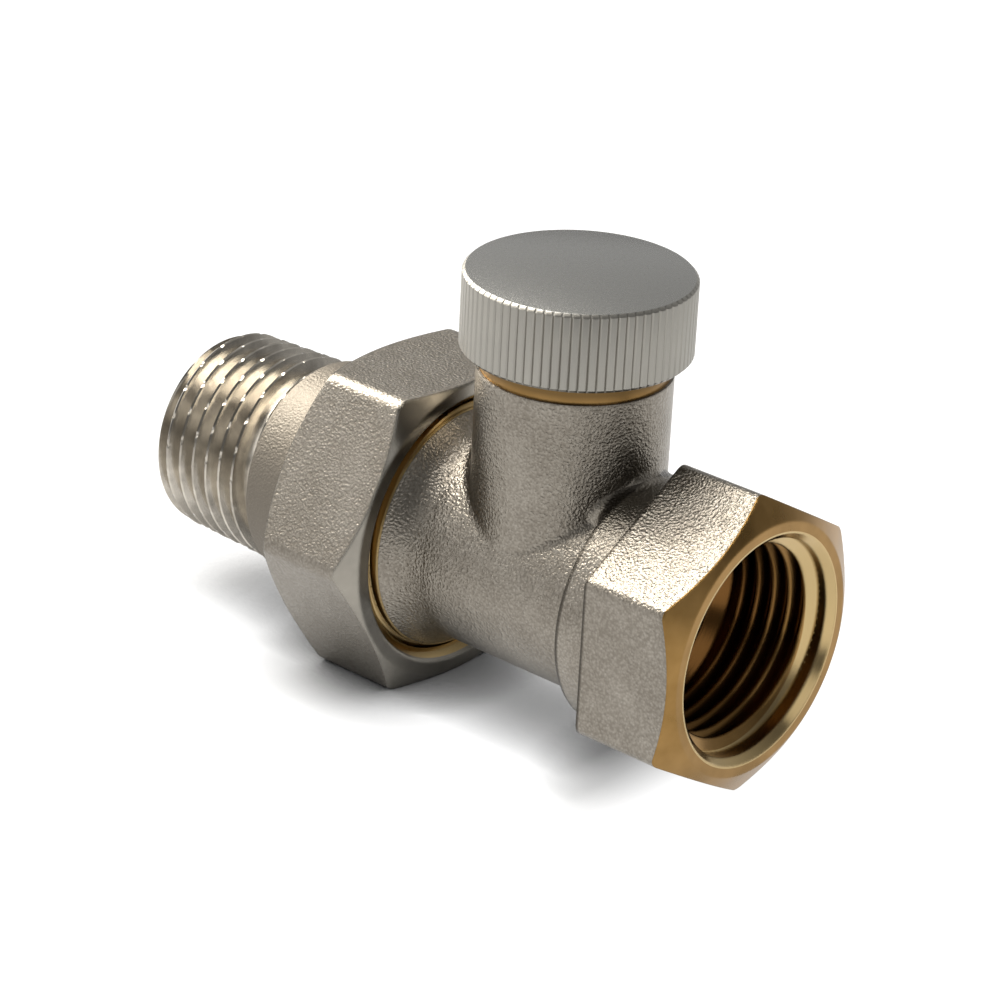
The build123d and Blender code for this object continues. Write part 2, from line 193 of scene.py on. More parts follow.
def tidy_mesh(mesh, sharp_degrees):
    """Joins doubled points, turns every face outwards and shades it smooth between sharp edges."""
    work = bmesh.new()
    work.from_mesh(mesh)
    bmesh.ops.remove_doubles(work, verts=work.verts, dist=1e-7)
    bmesh.ops.dissolve_degenerate(work, edges=work.edges, dist=1e-8)
    bmesh.ops.recalc_face_normals(work, faces=work.faces)
    if work.calc_volume(signed=True) < 0:
        bmesh.ops.reverse_faces(work, faces=work.faces)
    work.to_mesh(mesh)
    work.free()
    mesh.shade_smooth()
    mesh.set_sharp_from_angle(angle=math.radians(sharp_degrees))


def grow(name, tree, values, place, base=None, sharp_degrees=32):
    """Runs a recipe once and keeps the result as a plain mesh on its axis."""
    start = base or bpy.data.meshes.new(name)
    piece = bpy.data.objects.new(name, start)
    bpy.context.scene.collection.objects.link(piece)
    modifier = piece.modifiers.new("recipe", "NODES")
    modifier.node_group = tree
    for item in tree.interface.items_tree:
        if item.in_out == "INPUT" and item.name in values:
            modifier[item.identifier] = values[item.name]
    bpy.context.view_layer.update()
    evaluated = piece.evaluated_get(bpy.context.evaluated_depsgraph_get())
    mesh = bpy.data.meshes.new_from_object(evaluated)
    piece.modifiers.remove(modifier)
    piece.data = mesh
    mesh.name = name
    mesh.transform(place)
    tidy_mesh(mesh, sharp_degrees)
    print(f"{name}: {len(mesh.polygons)} faces")
    return piece

# %% [markdown]
# ## Finishes
#
# The valve is forged brass. The forging is blasted and nickel plated, which leaves a warm grey metal with a
# grain of about a quarter of a millimetre that glitters in the light. What is cut after plating is bare
# brass: the face of the port, its corners, every thread and the band under the cap. One metal shader makes
# them all, and masks on the object's coordinates choose between them, as the cutter did on the real one.

# %% Helpers for metal


def object_place(plan):
    """Object coordinates as a vector and as three numbers."""
    place = plan.node("ShaderNodeTexCoord", output="Object")
    parts = plan.node("ShaderNodeSeparateXYZ", None, {0: place})
    return place, parts.out("X"), parts.out("Y"), parts.out("Z")


def distance_of(first, second):
    """Length of the flat vector with these two parts."""
    return (first * first + second * second).math("SQRT")


CRISP = 60000.0


def under(value, limit, steep=CRISP):
    """1 where the value is under the limit and 0 past it."""
    return ((limit - value) * steep).clamp()


def over(value, limit, steep=CRISP):
    """1 where the value is over the limit and 0 before it."""
    return ((value - limit) * steep).clamp()


def speckle(plan, place, size, detail=2.0, roughness=0.5):
    """Noise whose grains are about this size, from 0 to 1."""
    return plan.node("ShaderNodeTexNoise", {"noise_dimensions": "3D"}, {
        "Vector": place, "Scale": 1 / size, "Detail": detail, "Roughness": roughness,
    })


def blend_colours(plan, share, low, high):
    """One colour at 0 and another at 1."""
    return plan.node(
        "ShaderNodeMix", {"data_type": "RGBA"},
        {"Factor_Float": share, "A_Color": low, "B_Color": high}, "Result_Color",
    )


def bump(plan, height, depth, below=None):
    """Turns a height from 0 to 1 into dents of this depth."""
    inputs = {"Strength": 1.0, "Distance": depth, "Height": height}
    if below is not None:
        inputs["Normal"] = below
    return plan.node("ShaderNodeBump", None, inputs)


def soft_edges(plan, radius):
    """Normals that run round sharp edges, as on a forging."""
    return plan.node("ShaderNodeBevel", {"samples": 3}, {"Radius": radius}, "Normal")


def new_finish(name):
    """An empty material and the plan of its tree."""
    material = bpy.data.materials.new(name)
    material.use_nodes = True
    material.node_tree.nodes.clear()
    return material, Plan(material.node_tree)


def close_metal(plan, colour, roughness, normal, metallic=1.0):
    """The metal shader and the output."""
    shader = plan.node("ShaderNodeBsdfPrincipled", None, {
        "Base Color": colour, "Roughness": roughness, "Metallic": metallic, "Normal": normal,
    })
    plan.node("ShaderNodeOutputMaterial", None, {"Surface": shader})


print("helpers for metal are ready, edges are", round(1 / CRISP / MM, 3), "mm wide")

# %% [markdown]
# ## The blasted skin
#
# Shot leaves round marks of about a quarter of a millimetre. A noise alone looks like worms, so round cells
# are mixed into it. Over these marks lie a finer grain and wide, faint stains from the plating bath. Body,
# nut and tail share this skin, and each gives it its own stains and depth.

# %% The skin of blasted nickel
MARK = 0.23 * MM
FINE = 0.11 * MM
NICKEL = (0.36, 0.331, 0.286, 1)
NICKEL_DARK = (0.198, 0.176, 0.146, 1)


class BlastedSkin:
    """The shot's marks, the finest grain and the wide stains, with what they do to the metal."""

    def __init__(self, plan, place, stain_size):
        cells = plan.node("ShaderNodeTexVoronoi", {"feature": "F1"}, {
            "Vector": place, "Scale": 1 / (1.25 * MARK),
        }, "Distance")
        self.plan = plan
        self.marks = speckle(plan, place, MARK, 1.0, 0.45) * 0.6 + (0.9 - cells).clamp() * 0.4
        self.fine = speckle(plan, place, FINE, 0.0, 0.5)
        self.stains = speckle(plan, place, stain_size, 3.0, 0.6)
        self.height = self.marks * 0.8 + self.fine * 0.12

    def colour(self, light=NICKEL):
        """Light where the shot struck: mostly by its marks, a little by stain."""
        struck = ((self.marks - 0.34) * 2.4).clamp() * 0.75 + ((self.stains - 0.42) * 4).clamp() * 0.25
        return blend_colours(self.plan, struck, NICKEL_DARK, light)


print("marks of", MARK / MM, "mm, fine grain of", FINE / MM, "mm")

# %% [markdown]
# ## The body's metal
# 
# Masks on the object's coordinates say where the cutter was: in front of the port's face, on its corners, in
# its bore, on the band under the cap and on the union's thread. A mask is a distance times a steep number, cut
# off at 0 and 1, so its edge is as crisp as a tool's. Further masks paint light and shade into the colour: a
# dark line of painted shade on each side of the collar and behind the hexagon, where the steps shade the tube;
# painted shade deep in the port and at the top of the band under the cap; and lighter brass as a painted
# highlight at the port's mouth and on the union's thread.

# %% The forging: blasted nickel outside, bare brass where it was cut
BRASS = (0.345, 0.205, 0.072, 1)
BRASS_DARK = (0.25, 0.145, 0.046, 1)
# painted highlight: a lighter brass for the port's mouth, the union's thread and the nut's thread
BRASS_PAINTED_HIGHLIGHT = (0.50, 0.37, 0.18, 1)
# painted shadow: the colour of the neck's brass band where the cap overhangs it
CAP_PAINTED_SHADOW = (0.13, 0.08, 0.032, 1)
# painted shade: the brass colour deep inside the port
PORT_PAINTED_SHADE = (0.15, 0.07, 0.02, 1)
# painted shade: the colour of the dark lines where the collar and the hexagon's back shade the tube
PAINTED_SHADE_LINE = (0.045, 0.038, 0.03, 1)
CHAMFER = math.tan(math.radians(30))
SKIN = 0.06 * MM
COLLAR_BACK = -14.4 * MM
HEXAGON_BACK = -10.4 * MM
PORT_BACK = -14.2 * MM
PORT_RADIUS = 11.3 * MM
PORT_CORNER = 12.2 * MM
COLLAR_RADIUS = 12.3 * MM
NECK_BAND_RADIUS, NECK_SHOULDER = 8.88 * MM, 20.02 * MM
WATER_RADIUS = 9.8 * MM
NECK_HOLE_RADIUS, NECK_HOLE_FLOOR = 6.8 * MM, -2 * MM
UNION_START = -35.98 * MM


def forged_finish():
    """The body's own finish, with brass where the cutter has been."""
    material, plan = new_finish("blasted nickel and cut brass")
    place, x, y, z = object_place(plan)
    off_pipe = distance_of(y, z)
    off_stem = distance_of(x - stem_x, y)

    face = over(x, -SKIN)
    corners = over((off_pipe - PORT_CORNER) * CHAMFER + x, -0.07 * MM)
    port = under(off_pipe, PORT_RADIUS) * over(x, PORT_BACK)
    band = under(off_stem, NECK_BAND_RADIUS) * over(z, NECK_SHOULDER)
    water = under(off_pipe, WATER_RADIUS)
    neck_hole = under(off_stem, NECK_HOLE_RADIUS) * over(z, NECK_HOLE_FLOOR)
    union = under(x, UNION_START)
    cut = face.most(corners).most(port).most(band).most(water).most(neck_hole).most(union)

    skin = BlastedSkin(plan, place, 5 * MM)
    turning = plan.node("ShaderNodeTexNoise", {"noise_dimensions": "2D"}, {
        "Vector": plan.node("ShaderNodeCombineXYZ", None, {0: off_pipe, 1: x}),
        "Scale": 1 / FINE, "Detail": 1.0,
    })

    # painted shade: dark lines on the tube beside the collar and behind the hexagon, where the steps shade it
    collar_edge = under(x, COLLAR_BACK + 0.62 * MM, 5000.0) * over(x, COLLAR_BACK - 0.9 * MM, 3000.0)
    hexagon_edge = under(x, HEXAGON_BACK + 0.36 * MM, 5000.0) * over(x, HEXAGON_BACK - 0.4 * MM, 4000.0)
    beside_neck = ((off_stem - 14 * MM) * 900.0 + 1).clamp()
    shade_lines = (collar_edge * under(off_pipe, COLLAR_RADIUS)).most(hexagon_edge * beside_neck)
    plated = blend_colours(plan, shade_lines * 0.8, skin.colour(), PAINTED_SHADE_LINE)

    bare = blend_colours(plan, ((skin.stains - 0.35) * 3).clamp(), BRASS_DARK, BRASS)
    # painted shade: the port's brass darkens from 1.8 mm inside the face towards the bottom of the bore
    bare = blend_colours(plan, port * under(x, -1.8 * MM, 150.0), bare, PORT_PAINTED_SHADE)
    # painted highlight: lighter brass on the union's thread and within 2.2 mm of the port's face
    bare = blend_colours(plan, union.most(port * over(x, -2.2 * MM)), bare, BRASS_PAINTED_HIGHLIGHT)
    # painted shadow: the band under the cap darkens towards its top, under the cap
    bare = blend_colours(plan, band * over(z, NECK_SHOULDER + 0.28 * MM, 1200.0) * 0.9, bare, CAP_PAINTED_SHADOW)

    colour = blend_colours(plan, cut, plated, bare)
    roughness = (1 - cut) * (0.25 + 0.14 * skin.fine) + cut * (0.22 - 0.1 * port + 0.14 * skin.stains)
    height = (1 - cut) * skin.height + cut * turning * 0.03
    close_metal(plan, colour, roughness, bump(plan, height, 0.13 * MM, soft_edges(plan, 0.35 * MM)))
    return material


forged = forged_finish()
print("made", forged.name)

# %% [markdown]
# ## The nut's metal
# 
# The nut is cut from a hexagonal bar, so its flats are blasted and its two faces and their chamfers are
# turned. The chamfers are cones of 30 degrees, and the mask uses the same cone. Its thread is bare brass in a
# lighter colour, which is a painted highlight.

# %% The nut: the same blasted skin, with smooth turned chamfers and a brass thread
NUT_CORNER = 14.9 * MM
NUT_MOUTH_RADIUS = 13.7 * MM
NUT_THREAD_RADIUS = 13.35 * MM
NUT_LIP = 2.4 * MM


def nut_finish():
    """Blasted flats, turned and plated chamfers, brass inside."""
    material, plan = new_finish("nut nickel")
    place, x, y, z = object_place(plan)
    off_pipe = distance_of(y, z)
    front, back = nut_high.x, nut_low.x

    cone = (off_pipe - NUT_CORNER) * CHAMFER
    front_cone, back_cone = over(cone + x, front - SKIN), over(cone - x, -back - SKIN)
    front_face, back_face = over(x, front - SKIN), under(x, back + SKIN)
    mouth = under(off_pipe, NUT_MOUTH_RADIUS)
    turned = front_cone.most(back_cone).most(front_face).most(back_face).most(mouth)
    thread = under(off_pipe, NUT_THREAD_RADIUS) * over(x, back + NUT_LIP)

    skin = BlastedSkin(plan, place, 5 * MM)
    blasted = skin.colour((0.325, 0.3, 0.262, 1))
    stained = ((skin.stains - 0.42) * 4).clamp()
    smooth = blend_colours(plan, stained, (0.26, 0.242, 0.21, 1), (0.32, 0.298, 0.258, 1))
    # painted highlight: the nut's thread gets the lighter brass
    colour = blend_colours(plan, thread, blend_colours(plan, turned, blasted, smooth), BRASS_PAINTED_HIGHLIGHT)
    roughness = (1 - turned) * (0.30 + 0.14 * skin.fine) + turned * (0.14 + 0.1 * skin.stains)
    height = (1 - turned) * skin.height + turned * skin.fine * 0.02
    close_metal(plan, colour, roughness, bump(plan, height, 0.11 * MM, soft_edges(plan, 0.5 * MM)))
    return material


nut_nickel = nut_finish()
print("made", nut_nickel.name)

# %% [markdown]
# ## The tail's metal
# 
# The tail is turned before it is plated, so its thread is bright nickel with soft streaks. Only the shank
# behind the thread is blasted, and it is duller than the body.

# %% Tail: glossy turned thread and a blasted shank
BRIGHT = (0.56, 0.52, 0.455, 1)
TAIL_THREAD = 13.2 * MM
SHANK_LEAST_RADIUS = 10.4 * MM


def tail_finish():
    """Turned bright nickel up to the end of the thread, blasted nickel after it."""
    material, plan = new_finish("tail nickel")
    place, x, y, z = object_place(plan)
    behind_thread = over(x, tail_low.x + TAIL_THREAD, 20000.0)
    shank = behind_thread * over(distance_of(y, z), SHANK_LEAST_RADIUS)
    skin = BlastedSkin(plan, place, 4 * MM)
    dull = blend_colours(plan, 0.95, skin.colour(), NICKEL_DARK)
    smooth = blend_colours(plan, ((skin.stains - 0.4) * 4).clamp(), NICKEL, BRIGHT)
    colour = blend_colours(plan, shank, smooth, dull)
    roughness = shank * (0.50 + 0.14 * skin.fine) + (1 - shank) * (0.16 + 0.1 * skin.stains)
    height = shank * skin.height + (1 - shank) * skin.fine * 0.02
    close_metal(plan, colour, roughness, bump(plan, height, 0.11 * MM))
    return material


tail_nickel = tail_finish()
print("made", tail_nickel.name)

# %% [markdown]
# ## The cap's metal
# 
# The cap is plated after a fine turning cut. Its top is flatter and smoother than its side, so it reflects one
# part of the room and looks like one even grey. The knurl breaks the side into light and dark.

# %% Cap: satin nickel with the trace of the turning tool
CAP_BORE = 8.86 * MM
CAP_CEILING = 28.2 * MM


def cap_finish():
    """Satin plated nickel, brass in the threaded bore."""
    material, plan = new_finish("satin nickel")
    place, x, y, z = object_place(plan)
    off_stem = distance_of(x - stem_x, y)
    hollow = under(off_stem, CAP_BORE + 0.04 * MM) * under(z, CAP_CEILING + 0.1 * MM)
    top = ((z - cap_high.z) * CRISP + 2.0).clamp()
    rings = plan.node("ShaderNodeTexNoise", {"noise_dimensions": "1D"}, {
        "W": off_stem, "Scale": 12000.0, "Detail": 1.0,
    })
    fine = speckle(plan, place, 0.12 * MM, 1.0, 0.5)
    stains = speckle(plan, place, 7 * MM, 2.0, 0.5)
    stained = ((stains - 0.35) * 3).clamp()
    satin = blend_colours(plan, stained, (0.325, 0.312, 0.281, 1), (0.362, 0.347, 0.312, 1))
    satin = blend_colours(plan, top, satin, (0.355, 0.351, 0.33, 1))
    colour = blend_colours(plan, hollow, satin, BRASS)
    roughness = 0.36 - 0.15 * top + 0.1 * fine
    close_metal(plan, colour, roughness, bump(plan, rings * 0.5 + fine * 0.5, 0.006 * MM))
    return material


satin_nickel = cap_finish()
print("made", satin_nickel.name)

# %% [markdown]
# ## The inner pieces
# 
# The spindle, its bonnet and the plug are turned brass, with rings so fine that they only stretch the
# highlights. The seals are matt rubber, the washer is a slippery white plastic and the clip is spring steel.
# They show through the bores and in the open poses.

# %% Inner pieces: turned brass, spring steel, rubber and white plastic


def turned_brass_finish():
    """Bare brass with fine rings about the stem or the pipe."""
    material, plan = new_finish("turned brass")
    place, x, y, z = object_place(plan)
    stains = speckle(plan, place, 3 * MM, 3.0, 0.6)
    turned = plan.node("ShaderNodeCombineXYZ", None, {0: distance_of(y, z), 1: x})
    lines = speckle(plan, turned, FINE, 1.0)
    colour = blend_colours(plan, ((stains - 0.35) * 3).clamp(), BRASS_DARK, BRASS)
    close_metal(plan, colour, 0.16 + 0.16 * stains, bump(plan, lines, 0.006 * MM))
    return material


def plain_finish(name, low, high, size, roughness, depth, metallic=0.0):
    """Rubber, plastic or spring steel: two shades, a soft grain and its own gloss."""
    material, plan = new_finish(name)
    grain = speckle(plan, object_place(plan)[0], size, 2.0, 0.6)
    colour = blend_colours(plan, ((grain - 0.3) * 2.5).clamp(), low, high)
    close_metal(plan, colour, roughness + 0.12 * grain, bump(plan, grain, depth), metallic)
    return material


def shade_of(red, green, blue):
    """A colour with its alpha."""
    return (red, green, blue, 1)


cut_brass = turned_brass_finish()
rubber = plain_finish(
    "seal rubber", shade_of(0.012, 0.012, 0.012), shade_of(0.03, 0.03, 0.03), 0.3 * MM, 0.5, 0.01 * MM,
)
plastic = plain_finish(
    "washer plastic", shade_of(0.72, 0.71, 0.67), shade_of(0.82, 0.81, 0.78), 0.5 * MM, 0.35, 0.004 * MM,
)
steel = plain_finish(
    "spring steel", shade_of(0.28, 0.28, 0.29), shade_of(0.42, 0.42, 0.43), 0.2 * MM, 0.22, 0.004 * MM, 1.0,
)
print("made", cut_brass.name, rubber.name, plastic.name, steel.name)

# %% [markdown]
# ## Threads
#
# A thread is one ridge that follows a helix. The recipe bends a flat grid: one way along the helix, the
# other way round the ridge's section. Both ends shrink to a point, as a thread runs out, and that closes the
# ridge. The tail's crests also carry the small nicks that hold hemp, and they drift from turn to turn
# because their number in a turn isn't whole.

# %% The recipe of a thread
TURN = 2 * math.pi


def thread_recipe():
    plan, given = new_recipe("thread ridge", {
        "Start": "number", "Radius": "number", "Height": "number", "Pitch": "number", "Turns": "number",
        "Taper": "number", "Fade in": "number", "Fade out": "number", "Hand": "number",
        "Nicks": "number", "Nick depth": "number", "End": "number", "End radius": "number",
        "Steps": "whole", "Finish": "finish",
    })
    count = given["Steps"] * given["Turns"]
    grid = plan.node("GeometryNodeMeshGrid", None, {
        "Size X": 1.0, "Size Y": 1.0, "Vertices X": count, "Vertices Y": 17,
    })
    parts = plan.node("ShaderNodeSeparateXYZ", None, {0: plan.node("GeometryNodeInputPosition")})
    along = (parts.out("X") + 0.5) * given["Turns"]
    corner = (parts.out("Y") + 0.5) * 16.0
    side = (1 - corner / 6).most(corner / 2 - 7)
    upper = corner.math("LESS_THAN", 12.01)
    flank = (1.15 - side.math("ABSOLUTE") * 1.38).clamp()
    section = upper * flank - (1 - upper) * (1 - side.math("ABSOLUTE")) * 0.08
    fade = (along / given["Fade in"]).clamp() * ((given["Turns"] - along) / given["Fade out"]).clamp()
    place_in_pitch = (along * given["Nicks"]).math("FRACT")
    nick = (1 - (place_in_pitch - 0.5).math("ABSOLUTE") * 9.0).clamp()
    section = section.least(1 - nick * given["Nick depth"])
    angle = along * TURN * given["Hand"]
    travel = along * given["Pitch"]
    axial = (given["Start"] + travel + side * given["Pitch"] * 0.5 * fade).most(given["End"])
    radius = given["Radius"] + travel * given["Taper"] + section * given["Height"] * fade
    radius = radius.least(given["End radius"] + axial - given["End"])
    spot = plan.node("ShaderNodeCombineXYZ", None, {
        0: radius * angle.math("COSINE"), 1: radius * angle.math("SINE"), 2: axial,
    })
    bent = plan.node("GeometryNodeSetPosition", None, {"Geometry": grid, "Position": spot})
    closed = plan.node("GeometryNodeMergeByDistance", None, {"Geometry": bent, "Distance": 1e-7})
    return finish_recipe(plan, closed, given["Finish"])


thread_ridge = thread_recipe()


def cut_thread(name, start, radius, height, pitch, turns, place, finish, body,
               taper=0.0, fade_in=0.6, fade_out=0.6, hand=1.0, nicks=0.0, nick_depth=0.0,
               end=-1.0, end_radius=1.0, steps=120):
    """One thread as a ridge on its own axis, riding on a body."""
    piece = grow(name, thread_ridge, {
        "Start": start, "Radius": radius, "Height": height, "Pitch": pitch, "Turns": turns, "Taper": taper,
        "Fade in": fade_in, "Fade out": fade_out, "Hand": hand, "Nicks": nicks, "Nick depth": nick_depth,
        "End": end, "End radius": end_radius, "Steps": steps, "Finish": finish,
    }, place, sharp_degrees=28)
    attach(piece, body)
    return piece

# %% [markdown]
# ### Where each thread runs
# 
# Pipe threads have a pitch of 1.814 mm and a depth of 1.162 mm. The tail's is a taper thread, 1 in 16 on the
# diameter, so its radius grows by 1/32 of the travel. The port's thread points inwards, which a negative height
# gives. The nut and the cap start half a pitch away from their mates, so the ridges mesh, and they turn with
# their own bodies.

# %% The threads themselves
PIPE_PITCH = 1.814 * MM
PIPE_DEPTH = 1.162 * MM
THREAD_START = -0.9 * MM
TAIL_TAPER = 1 / 32
TAIL_ROOT = 10.45 * MM - PIPE_DEPTH
PORT_ROOT, PORT_START = 10.478 * MM, -11.4 * MM
UNION_ROOT = 12.04 * MM
NUT_ROOT = 13.28 * MM
NECK_ROOT = 8.14 * MM
CAP_PITCH = 1.0 * MM

tail_thread = cut_thread(
    "tail_thread", tail_low.x + THREAD_START, TAIL_ROOT - (TAIL_THREAD - THREAD_START) * TAIL_TAPER,
    PIPE_DEPTH, PIPE_PITCH, 7.7, ON_PIPE, tail_nickel, "tail",
    taper=TAIL_TAPER, fade_in=0.1, fade_out=0.7, nicks=21.35, nick_depth=0.12,
    end=tail_low.x, end_radius=9.45 * MM, steps=320,
)
port_thread = cut_thread(
    "port_thread", PORT_START, PORT_ROOT, -PIPE_DEPTH, PIPE_PITCH, 5.4,
    ON_PIPE, forged, "body", fade_in=0.4, fade_out=0.25, steps=180,
)
union_start = body_low.x + 0.4 * MM
union_thread = cut_thread(
    "union_thread", union_start, UNION_ROOT, PIPE_DEPTH, PIPE_PITCH, 2.4,
    ON_PIPE, forged, "body", fade_in=0.3, fade_out=0.4, steps=160,
)
nut_thread = cut_thread(
    "nut_thread", union_start - 1.5 * PIPE_PITCH, NUT_ROOT, -PIPE_DEPTH, PIPE_PITCH, 3.8,
    ON_PIPE, nut_nickel, "nut", fade_in=0.4, fade_out=0.4, steps=160,
)
neck_start = cap_low.z + 0.55 * MM
neck_thread = cut_thread(
    "neck_thread", neck_start, NECK_ROOT, 0.61 * MM, CAP_PITCH, 3.0,
    ON_STEM, forged, "body", fade_in=0.3, fade_out=0.3, steps=110,
)
cap_thread = cut_thread(
    "cap_thread", neck_start + 0.5 * CAP_PITCH, CAP_BORE - 0.02 * MM, -0.6 * MM, CAP_PITCH, 2.6,
    ON_STEM, satin_nickel, "cap", fade_in=0.3, fade_out=0.3, steps=110,
)

# %% [markdown]
# The solid nut has a plain bore at the height of its thread's crests. A ridge needs the room behind it, so a
# copy of the nut gets its bore moved out to the thread's root, and replaces the plain one.

# %% Open the nut's bore
NUT_CREST = 12.10 * MM


def plain_copy(name, node, finish):
    """A copy of a node's mesh that may be merged and changed."""
    mesh = nodes[node].data.copy()
    mesh.name = name
    mesh.materials.clear()
    mesh.materials.append(finish)
    if "custom_normal" in mesh.attributes:
        mesh.attributes.remove(mesh.attributes["custom_normal"])
    piece = bpy.data.objects.new(name, mesh)
    bpy.context.scene.collection.objects.link(piece)
    return piece


open_nut = plain_copy("open_nut", "union_nut", nut_nickel)
moved = 0
for point in open_nut.data.vertices:
    radius = math.hypot(point.co.y, point.co.z)
    if abs(radius - NUT_CREST) < 0.02 * MM:
        point.co.y *= NUT_ROOT / radius
        point.co.z *= NUT_ROOT / radius
        moved += 1
tidy_mesh(open_nut.data, 25)
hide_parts("union_nut")
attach(open_nut, "nut")
print("moved", moved, "points of the nut's bore")

# %% [markdown]
# ## The cap
#
# The cap is turned and then knurled with straight grooves. A cross section that is turned about the stem
# gives the plain cap with its hollow, and a recipe then presses the grooves in: every point near the outer
# radius moves inwards where a groove runs. Ten steps for each groove keep its sides crisp.

# %% Turn a section about an axis


def lathe(name, outline, steps):
    """Turns (radius, height) points about Z. A point at radius 0 becomes one pole."""
    mesh = bpy.data.meshes.new(name)
    work = bmesh.new()
    rings = []
    for radius, height in outline:
        if radius == 0:
            rings.append([work.verts.new((0, 0, height))] * steps)
            continue
        ring = []
        for step in range(steps):
            angle = TURN * step / steps
            ring.append(work.verts.new((radius * math.cos(angle), radius * math.sin(angle), height)))
        rings.append(ring)
    for low, high in zip(rings, rings[1:]):
        for step in range(steps):
            after = (step + 1) % steps
            corners = list(dict.fromkeys([low[step], low[after], high[after], high[step]]))
            if len(corners) > 2:
                work.faces.new(corners)
    work.to_mesh(mesh)
    work.free()
    return mesh


cap_radius = (cap_high.x - cap_low.x) / 2
CAP_EDGE = 0.3 * MM
BREAK = 0.02 * MM
cap_section = [
    (0, cap_high.z),
    (cap_radius - CAP_EDGE - 0.05 * MM, cap_high.z),
    (cap_radius - CAP_EDGE, cap_high.z - BREAK),
    (cap_radius - BREAK, cap_high.z - CAP_EDGE),
    (cap_radius, cap_high.z - CAP_EDGE - 0.05 * MM),
    (cap_radius, cap_low.z + CAP_EDGE),
    (cap_radius - CAP_EDGE, cap_low.z),
    (CAP_BORE + 0.44 * MM, cap_low.z),
    (CAP_BORE + 0.14 * MM, cap_low.z + 0.3 * MM),
    (CAP_BORE, cap_low.z + 0.6 * MM),
    (CAP_BORE, CAP_CEILING),
    (0, CAP_CEILING),
]
print(f"cap {2 * cap_radius / MM:.2f} mm across, {len(cap_section)} points in its section")

# %% [markdown]
# ### The knurl
#
# The grooves follow a rule, so Geometry Nodes press them in. The recipe asks each point for its angle, finds
# the nearest groove, and limits the point's radius to the groove's V there. Points nearer the axis stay.

# %% Press the knurl


def knurl_recipe():
    """A tree that presses straight grooves into whatever reaches the outer radius."""
    plan, given = new_recipe("straight knurl", {
        "Radius": "number", "Grooves": "number", "Width": "number", "Depth": "number", "Finish": "finish",
    })
    parts = plan.node("ShaderNodeSeparateXYZ", None, {0: plan.node("GeometryNodeInputPosition")})
    x, y, z = parts.out("X"), parts.out("Y"), parts.out("Z")
    radius = distance_of(x, y)
    angle = y.math("ARCTAN2", x)
    place_in_step = (angle * given["Grooves"] / TURN + 0.5).math("FRACT") - 0.5
    gap = place_in_step.math("ABSOLUTE") * TURN * given["Radius"] / given["Grooves"]
    groove = (1 - gap * 2 / given["Width"]).clamp() * given["Depth"]
    share = radius.least(given["Radius"] - groove) / radius.most(1e-6)
    spot = plan.node("ShaderNodeCombineXYZ", None, {0: x * share, 1: y * share, 2: z})
    shaped = plan.node("GeometryNodeSetPosition", None, {"Geometry": given["Shape"], "Position": spot})
    return finish_recipe(plan, shaped, given["Finish"])


GROOVES = 80
knurled_cap = grow("knurled_cap", knurl_recipe(), {
    "Radius": cap_radius, "Grooves": float(GROOVES), "Width": 0.28 * MM, "Depth": 0.15 * MM,
    "Finish": satin_nickel,
}, ON_STEM, base=lathe("cap section", cap_section, 10 * GROOVES), sharp_degrees=25)
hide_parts("cap")
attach(knurled_cap, "cap")

# %% [markdown]
# ## The tail's rim
# 
# The first turn of the tail's thread is cut off by the end face. A thin ring closes what that cut leaves open
# round the chamfer.

# %% Close the tail's end
RIM_INNER, RIM_OUTER = 8.2 * MM, 8.93 * MM
RIM_FRONT, RIM_BACK = 0.02 * MM, 0.8 * MM
rim_mesh = lathe("tail_rim", [
    (RIM_INNER, RIM_FRONT), (RIM_OUTER, RIM_FRONT), (RIM_OUTER, RIM_BACK), (RIM_INNER, RIM_BACK),
    (RIM_INNER, RIM_FRONT),
], 180)
rim_mesh.transform(ON_PIPE @ Matrix.Translation((0, 0, tail_low.x)))
rim_mesh.materials.append(tail_nickel)
tidy_mesh(rim_mesh, 32)
tail_rim = bpy.data.objects.new("tail_rim", rim_mesh)
bpy.context.scene.collection.objects.link(tail_rim)
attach(tail_rim, "tail")
print("tail_rim:", len(rim_mesh.polygons), "faces")

# %% [markdown]
# ## Finishes on the solids
# 
# The solids keep their own meshes. Their slots are linked to the object, so only the material changes.

# %% Give every node its finish
FINISHES = {
    "valve_body": forged, "bonnet": cut_brass, "spindle": cut_brass, "plug": cut_brass,
    "seal_washer": cut_brass, "seal_screw": cut_brass, "bonnet_ring": rubber, "spindle_ring_lower": rubber,
    "spindle_ring_upper": rubber, "plug_seal": rubber, "cap_gasket": rubber, "union_ring": rubber,
    "thrust_washer": plastic, "spindle_clip": steel, "tailpiece": tail_nickel,
}
for name, finish in FINISHES.items():
    for slot in nodes[name].material_slots:
        slot.link = "OBJECT"
        slot.material = finish
print("dressed", len(FINISHES), "nodes")

# %% [markdown]
# ## The studio
#
# A metal piece shows the room it stands in. The floor is white to the camera and to reflections. Its only
# dark part is the contact shadow: the less of the room a point of the floor sees within a centimetre, the
# darker it is. The point looks a little to the right, so that the shadow lies to the left. The port's hexagon
# hangs 2 mm above the floor. From 15 mm on the tail's side of the port's face towards the port, a painted
# light fades the contact shadow out and leaves the floor white there.

# %% Floor
FLOOR_REACH = 3.0
SHADOW_REACH = 7.8 * MM
LOOK_RIGHT = (0.6, 0, 0.8)


